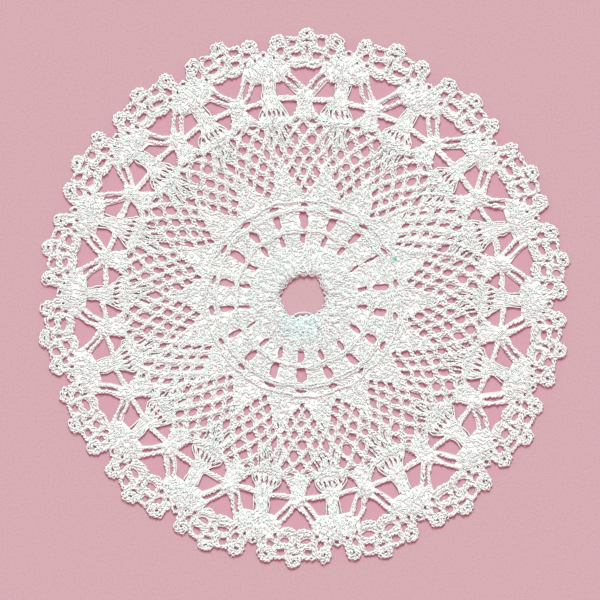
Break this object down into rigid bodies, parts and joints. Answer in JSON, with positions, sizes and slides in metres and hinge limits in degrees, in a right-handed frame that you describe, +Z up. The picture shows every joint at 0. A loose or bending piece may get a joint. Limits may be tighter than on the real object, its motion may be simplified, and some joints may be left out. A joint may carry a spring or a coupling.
{
  "type": "lace doily",
  "caption": "Round flat doily of white cotton bobbin lace with a gathered centre, diamond net, spider knots, dense fans and a looped scalloped edge.",
  "frame": {"origin": "middle of the doily's outline, on the underside that rests on the table", "axes": "+Z up through the cloth, +Y towards the edge that is at the top of the picture, +X to its right"},
  "size_m": [0.1484, 0.151, 0.0018],
  "materials": {
    "cotton_lace": "matt white cotton thread"
  },
  "bodies": {
    "root": {"lace_doily": "cotton_lace"}
  },
  "joints": []
}
